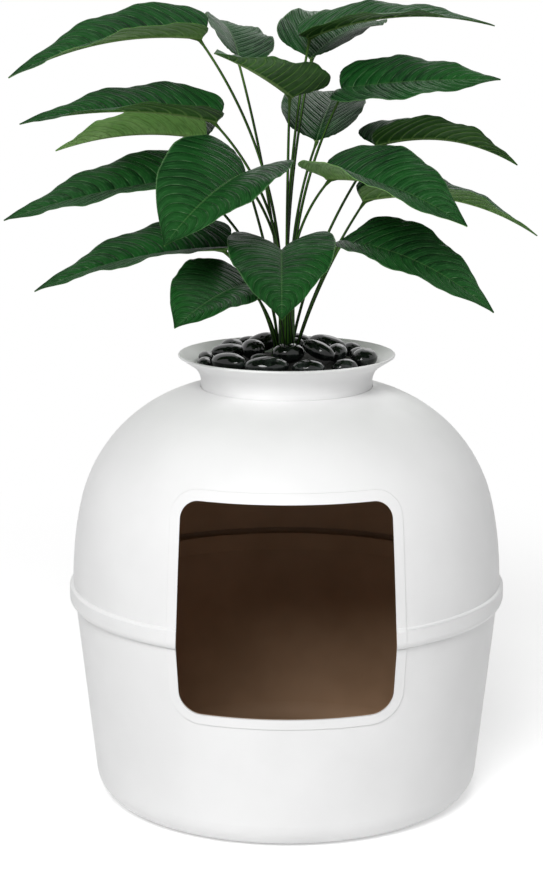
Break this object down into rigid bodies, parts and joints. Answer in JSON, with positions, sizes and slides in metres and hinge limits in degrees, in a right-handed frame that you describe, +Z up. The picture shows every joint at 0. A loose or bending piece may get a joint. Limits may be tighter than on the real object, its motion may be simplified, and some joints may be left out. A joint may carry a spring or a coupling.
{
  "type": "planter litter box",
  "caption": "Litter box shaped like a round plant pot: a deep pan, a domed cover with a front doorway, and a lift-out tray of polished pebbles with an artificial leafy plant.",
  "frame": {"origin": "centre of the pan's flat underside, on the floor", "axes": "+Z up, the doorway faces -Y, +X to the right of the doorway seen from the front"},
  "size_m": [0.6112, 0.49, 0.9178],
  "materials": {
    "pot_plastic": "satin white",
    "grille_plastic": "satin white",
    "charcoal_felt": "charcoal felt",
    "dark_foam": "coarse dark foam",
    "black_pebble": "polished",
    "stem_green": "moulded green",
    "stalk_green": "moulded dark green",
    "leaf_green": "printed leaf, dark green above and yellow-green below"
  },
  "bodies": {
    "pan": {"base_pan": "pot_plastic"},
    "cover": {"dome_cover": "pot_plastic"},
    "filter": {"filter_cover": "grille_plastic", "filter_pad": "charcoal_felt"},
    "tray": {"planter_tray": "pot_plastic", "foam_block": "dark_foam", "pebbles_large": "black_pebble", "pebbles_medium": "black_pebble", "pebbles_small": "black_pebble"},
    "plant": {"main_stem": "stem_green", "stalk_01": "stalk_green", "stalk_02": "stalk_green", "stalk_03": "stalk_green", "stalk_04": "stalk_green", "stalk_05": "stalk_green", "stalk_06": "stalk_green", "stalk_07": "stalk_green", "stalk_08": "stalk_green", "stalk_09": "stalk_green", "stalk_10": "stalk_green", "stalk_11": "stalk_green", "stalk_12": "stalk_green", "stalk_13": "stalk_green", "stalk_14": "stalk_green", "stalk_15": "stalk_green", "stalk_16": "stalk_green", "stalk_17": "stalk_green", "stalk_18": "stalk_green", "leaf_01": "leaf_green", "leaf_02": "leaf_green", "leaf_03": "leaf_green", "leaf_04": "leaf_green", "leaf_05": "leaf_green", "leaf_06": "leaf_green", "leaf_07": "leaf_green", "leaf_08": "leaf_green", "leaf_09": "leaf_green", "leaf_10": "leaf_green", "leaf_11": "leaf_green", "leaf_12": "leaf_green", "leaf_13": "leaf_green", "leaf_14": "leaf_green", "leaf_15": "leaf_green", "leaf_16": "leaf_green", "leaf_17": "leaf_green", "leaf_18": "leaf_green"}
  },
  "joints": [
    {"name": "dome_lift", "type": "slide", "parent": "pan", "child": "cover", "axis": [0, 0, 1], "range_m": [0, 0.3]},
    {"name": "filter_pull", "type": "slide", "parent": "cover", "child": "filter", "axis": [0, -1, 0], "range_m": [0, 0.06]},
    {"name": "tray_lift", "type": "slide", "parent": "cover", "child": "tray", "axis": [0, 0, 1], "range_m": [0, 0.15]},
    {"name": "plant_pull", "type": "slide", "parent": "tray", "child": "plant", "axis": [0, 0, 1], "range_m": [0, 0.12]}
  ]
}
